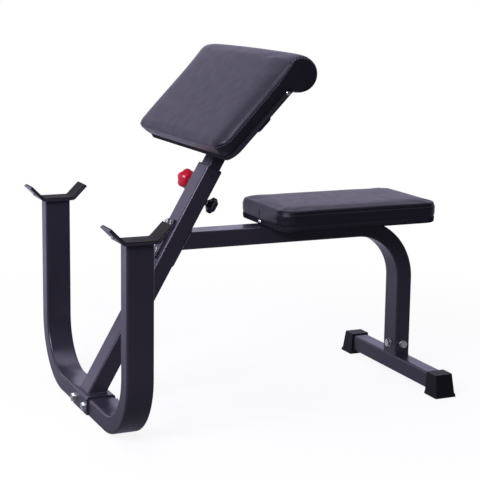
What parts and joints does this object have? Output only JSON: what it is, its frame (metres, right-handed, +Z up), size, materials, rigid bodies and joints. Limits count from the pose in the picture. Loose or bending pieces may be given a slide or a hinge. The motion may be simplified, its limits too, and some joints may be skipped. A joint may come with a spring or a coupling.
{
  "type": "preacher curl bench",
  "caption": "Preacher curl bench: bent-tube U-frame with bar cradles, sloped post with a pin-set sliding column, rolled arm pad, seat beam and padded seat.",
  "frame": {"origin": "on the floor, under the middle of the bench's box", "axes": "+X from the bar cradles towards the seat, +Y to the right of a person on the seat, +Z up"},
  "size_m": [0.8946, 0.632, 0.8089],
  "materials": {
    "powder_coat": "fine matt powder coat",
    "zinc": "bright zinc plate",
    "chrome_trim": "bright",
    "vinyl": "soft sheen, fine grain",
    "board": "black stained plywood",
    "liner_rubber": "matt",
    "black_plastic": "moulded, satin",
    "red_plastic": "glossy"
  },
  "bodies": {
    "frame": {"bar_cradle_left": "powder_coat", "bar_cradle_right": "powder_coat", "base_saddle": "powder_coat", "beam_backing_plate": "powder_coat", "beam_flange": "powder_coat", "beam_nuts": "zinc", "beam_studs": "zinc", "beam_washers": "zinc", "clamp_nut": "powder_coat", "cradle_liner_left": "liner_rubber", "cradle_liner_right": "liner_rubber", "cradle_rivets": "black_plastic", "foot_cap_left": "black_plastic", "foot_cap_right": "black_plastic", "front_post": "powder_coat", "leg_bolts": "zinc", "leg_nuts": "zinc", "leg_stub": "powder_coat", "leg_washers": "zinc", "pin_barrel": "powder_coat", "post_bush": "black_plastic", "rear_crossbar": "powder_coat", "saddle_bolts": "zinc", "saddle_nuts": "zinc", "saddle_washers": "zinc", "seat_beam": "powder_coat", "seat_board": "board", "seat_cover_screw": "chrome_trim", "seat_cushion": "vinyl", "seat_plate_front": "powder_coat", "seat_plate_rear": "powder_coat", "seat_screws": "zinc", "u_frame": "powder_coat"},
    "arm_rest": {"inner_post": "powder_coat", "column_top_plug": "black_plastic", "column_bottom_plug": "black_plastic", "arm_bracket": "powder_coat", "bracket_bolts": "zinc", "bracket_nuts": "zinc", "bracket_washers": "zinc", "arm_cross_bar": "powder_coat", "arm_screws": "zinc", "arm_board": "board", "arm_cover_screws": "chrome_trim", "arm_cushion": "vinyl"},
    "pull_pin": {"pull_pin": "zinc", "pin_spring": "zinc", "pull_knob": "red_plastic"},
    "clamp_tip": {"clamp_pad": "black_plastic"},
    "clamp_screw": {"clamp_stud": "zinc", "clamp_knob": "black_plastic"}
  },
  "joints": [
    {"name": "column_slide", "type": "slide", "parent": "frame", "child": "arm_rest", "axis": [0.4955, 0, 0.8686], "range_m": [-0.02, 0.04]},
    {"name": "pin_pull", "type": "slide", "parent": "frame", "child": "pull_pin", "axis": [0, 1, 0], "range_m": [-0.008, 0], "stiffness_N_per_m": 300, "springref_m": -0.03},
    {"name": "clamp_advance", "type": "slide", "parent": "frame", "child": "clamp_tip", "axis": [0.8686, 0, -0.4955], "range_m": [0, 0.003]},
    {"name": "clamp_turn", "type": "hinge", "parent": "clamp_tip", "child": "clamp_screw", "pos_m": [-0.11693, 0, 0.46406], "axis": [0.8686, 0, -0.4955], "range_deg": [0, 720]}
  ],
  "couplings": [
    {"joint": "clamp_turn", "follows": "clamp_advance", "rad_per_m": 4188.8}
  ]
}
